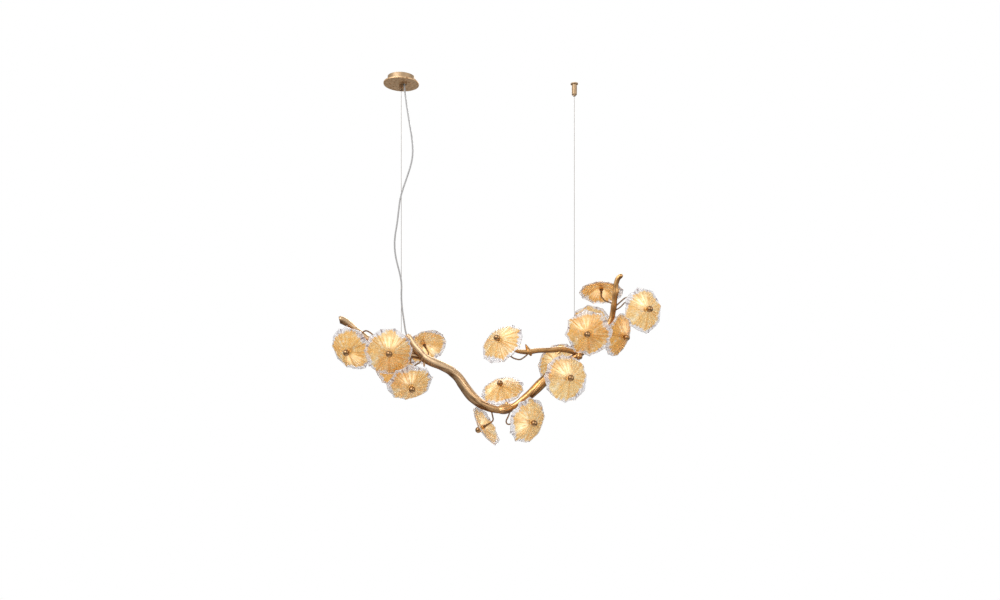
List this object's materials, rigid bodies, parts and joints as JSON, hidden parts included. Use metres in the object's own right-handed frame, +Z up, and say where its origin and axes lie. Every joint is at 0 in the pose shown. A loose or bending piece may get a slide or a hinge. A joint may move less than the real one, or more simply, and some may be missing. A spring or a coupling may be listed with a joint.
{
  "type": "branch chandelier",
  "caption": "Gold cast branch hung level on thin wires, with round amber glass leaves on bent stems and a clear power cord from a round ceiling canopy.",
  "frame": {"origin": "centre of the canopy's ceiling face, where the round band meets the ceiling", "axes": "+Z up to the ceiling, +X along the branch from the canopy towards the anchor, +Y away from the viewer of the front"},
  "size_m": [1.1254, 0.3572, 1.2585],
  "materials": {
    "satin_gold": "satin",
    "hammered_gold": "hammered matte",
    "cast_gold": "cast and brushed",
    "polished_gold": "polished",
    "zinc_steel": "zinc plated",
    "wire_rope": "bright strand",
    "dark_plunger": "dark",
    "white_nylon": "moulded",
    "clear_cord": "clear sheath over tinned braid",
    "lead_sleeve": "sleeved",
    "led_board_white": "matte",
    "led_lens": "frosted",
    "rubber": "moulded",
    "amber_glass": "ribbed and crackled, clear rim"
  },
  "bodies": {
    "ceiling": {"ceiling_bracket": "zinc_steel", "canopy_screws": "satin_gold", "canopy_band": "satin_gold", "canopy_plate": "hammered_gold", "terminal_block": "white_nylon", "cord_gland": "satin_gold", "left_gripper": "satin_gold", "gripper_nut": "satin_gold", "anchor_flange": "satin_gold", "anchor_body": "satin_gold"},
    "swivels": {"swivel_liners": "white_nylon"},
    "left_hanger": {"left_wire": "wire_rope", "left_fork": "satin_gold", "left_fork_pin": "satin_gold", "power_cord": "clear_cord"},
    "right_hanger": {"right_wire": "wire_rope", "right_fork": "satin_gold", "right_fork_pin": "satin_gold"},
    "left_release": {"left_plunger": "dark_plunger"},
    "right_release": {"right_plunger": "dark_plunger"},
    "branch": {"ball_nuts": "polished_gold", "bough_collar": "cast_gold", "bough_stems": "satin_gold", "collar_stems": "satin_gold", "cord_inlet": "cast_gold", "end_ball": "cast_gold", "lamp_cups": "cast_gold", "led_boards": "led_board_white", "led_lenses": "led_lens", "left_eye_lug": "satin_gold", "left_limb": "cast_gold", "limb_stems": "satin_gold", "main_bough": "cast_gold", "right_bough": "cast_gold", "right_eye_lug": "satin_gold", "right_stems": "satin_gold", "rubber_washers": "rubber", "sprig": "satin_gold", "stem_nipples": "satin_gold", "stem_nuts": "satin_gold", "twig_stem": "satin_gold", "upper_twig": "cast_gold", "wiring_harness": "lead_sleeve"},
    "leaf_01": {"glass_leaf_01": "amber_glass"},
    "leaf_02": {"glass_leaf_02": "amber_glass"},
    "leaf_03": {"glass_leaf_03": "amber_glass"},
    "leaf_04": {"glass_leaf_04": "amber_glass"},
    "leaf_05": {"glass_leaf_05": "amber_glass"},
    "leaf_06": {"glass_leaf_06": "amber_glass"},
    "leaf_07": {"glass_leaf_07": "amber_glass"},
    "leaf_08": {"glass_leaf_08": "amber_glass"},
    "leaf_09": {"glass_leaf_09": "amber_glass"},
    "leaf_10": {"glass_leaf_10": "amber_glass"},
    "leaf_11": {"glass_leaf_11": "amber_glass"},
    "leaf_12": {"glass_leaf_12": "amber_glass"},
    "leaf_13": {"glass_leaf_13": "amber_glass"},
    "leaf_14": {"glass_leaf_14": "amber_glass"},
    "leaf_15": {"glass_leaf_15": "amber_glass"},
    "leaf_16": {"glass_leaf_16": "amber_glass"}
  },
  "joints": [
    {"name": "branch_swing", "type": "hinge", "parent": "ceiling", "child": "swivels", "pos_m": [0, 0, -0.028], "axis": [0.996, 0.0889, 0], "range_deg": [-8, 8]},
    {"name": "branch_sway", "type": "hinge", "parent": "swivels", "child": "left_hanger", "pos_m": [0, 0, -0.028], "axis": [-0.0889, 0.996, 0], "range_deg": [-8, 8]},
    {"name": "branch_stays_level", "type": "hinge", "parent": "left_hanger", "child": "branch", "pos_m": [0, 0, -0.9], "axis": [-0.0889, 0.996, 0], "range_deg": [-8, 8]},
    {"name": "right_wire_sway", "type": "hinge", "parent": "swivels", "child": "right_hanger", "pos_m": [0.594, 0.053, -0.028], "axis": [-0.0889, 0.996, 0], "range_deg": [-8, 8]},
    {"name": "left_release_press", "type": "slide", "parent": "ceiling", "child": "left_release", "axis": [0, 0, 1], "range_m": [0, 0.002], "stiffness_N_per_m": 600, "springref_m": -0.0015},
    {"name": "right_release_press", "type": "slide", "parent": "ceiling", "child": "right_release", "axis": [0, 0, 1], "range_m": [0, 0.002], "stiffness_N_per_m": 600, "springref_m": -0.0015},
    {"name": "leaf_01_turn", "type": "hinge", "parent": "branch", "child": "leaf_01", "pos_m": [-0.17, -0.051, -0.933], "axis": [-0.357, -0.8409, -0.4067], "continuous": true},
    {"name": "leaf_02_turn", "type": "hinge", "parent": "branch", "child": "leaf_02", "pos_m": [-0.023, -0.12, -0.94], "axis": [0.2026, -0.9531, -0.225], "continuous": true},
    {"name": "leaf_03_turn", "type": "hinge", "parent": "branch", "child": "leaf_03", "pos_m": [0.058, 0.152, -0.899], "axis": [-0.3945, 0.6566, 0.6428], "continuous": true},
    {"name": "leaf_04_turn", "type": "hinge", "parent": "branch", "child": "leaf_04", "pos_m": [0.043, -0.069, -1.052], "axis": [0.307, -0.6895, -0.6561], "continuous": true},
    {"name": "leaf_05_turn", "type": "hinge", "parent": "branch", "child": "leaf_05", "pos_m": [-0.037, 0.064, -0.995], "axis": [-0.4463, 0.8051, -0.3907], "continuous": true},
    {"name": "leaf_06_turn", "type": "hinge", "parent": "branch", "child": "leaf_06", "pos_m": [0.331, -0.043, -0.893], "axis": [-0.5047, -0.6698, 0.5446], "continuous": true},
    {"name": "leaf_07_turn", "type": "hinge", "parent": "branch", "child": "leaf_07", "pos_m": [0.338, 0.112, -1.051], "axis": [-0.2406, -0.5667, 0.788], "continuous": true},
    {"name": "leaf_08_turn", "type": "hinge", "parent": "branch", "child": "leaf_08", "pos_m": [0.269, 0.068, -1.2], "axis": [-0.8282, 0.2532, -0.5], "continuous": true},
    {"name": "leaf_09_turn", "type": "hinge", "parent": "branch", "child": "leaf_09", "pos_m": [0.442, -0.055, -1.169], "axis": [0.6287, -0.7493, -0.2079], "continuous": true},
    {"name": "leaf_10_turn", "type": "hinge", "parent": "branch", "child": "leaf_10", "pos_m": [0.562, -0.091, -1.021], "axis": [0.3741, -0.9259, 0.0523], "continuous": true},
    {"name": "leaf_11_turn", "type": "hinge", "parent": "branch", "child": "leaf_11", "pos_m": [0.542, 0.174, -0.966], "axis": [-0.273, 0.8928, 0.3584], "continuous": true},
    {"name": "leaf_12_turn", "type": "hinge", "parent": "branch", "child": "leaf_12", "pos_m": [0.623, -0.086, -0.876], "axis": [-0.2375, -0.9525, -0.1908], "continuous": true},
    {"name": "leaf_13_turn", "type": "hinge", "parent": "branch", "child": "leaf_13", "pos_m": [0.681, 0.193, -0.827], "axis": [0.4119, 0.8446, 0.342], "continuous": true},
    {"name": "leaf_14_turn", "type": "hinge", "parent": "branch", "child": "leaf_14", "pos_m": [0.701, 0.144, -0.696], "axis": [0.0544, 0.3869, 0.9205], "continuous": true},
    {"name": "leaf_15_turn", "type": "hinge", "parent": "branch", "child": "leaf_15", "pos_m": [0.769, 0.065, -0.88], "axis": [0.747, -0.6049, -0.2756], "continuous": true},
    {"name": "leaf_16_turn", "type": "hinge", "parent": "branch", "child": "leaf_16", "pos_m": [0.827, -0.05, -0.793], "axis": [0.4688, -0.8817, 0.0523], "continuous": true}
  ],
  "couplings": [
    {"joint": "branch_stays_level", "follows": "branch_sway", "ratio": -1},
    {"joint": "right_wire_sway", "follows": "branch_sway", "ratio": 1}
  ]
}
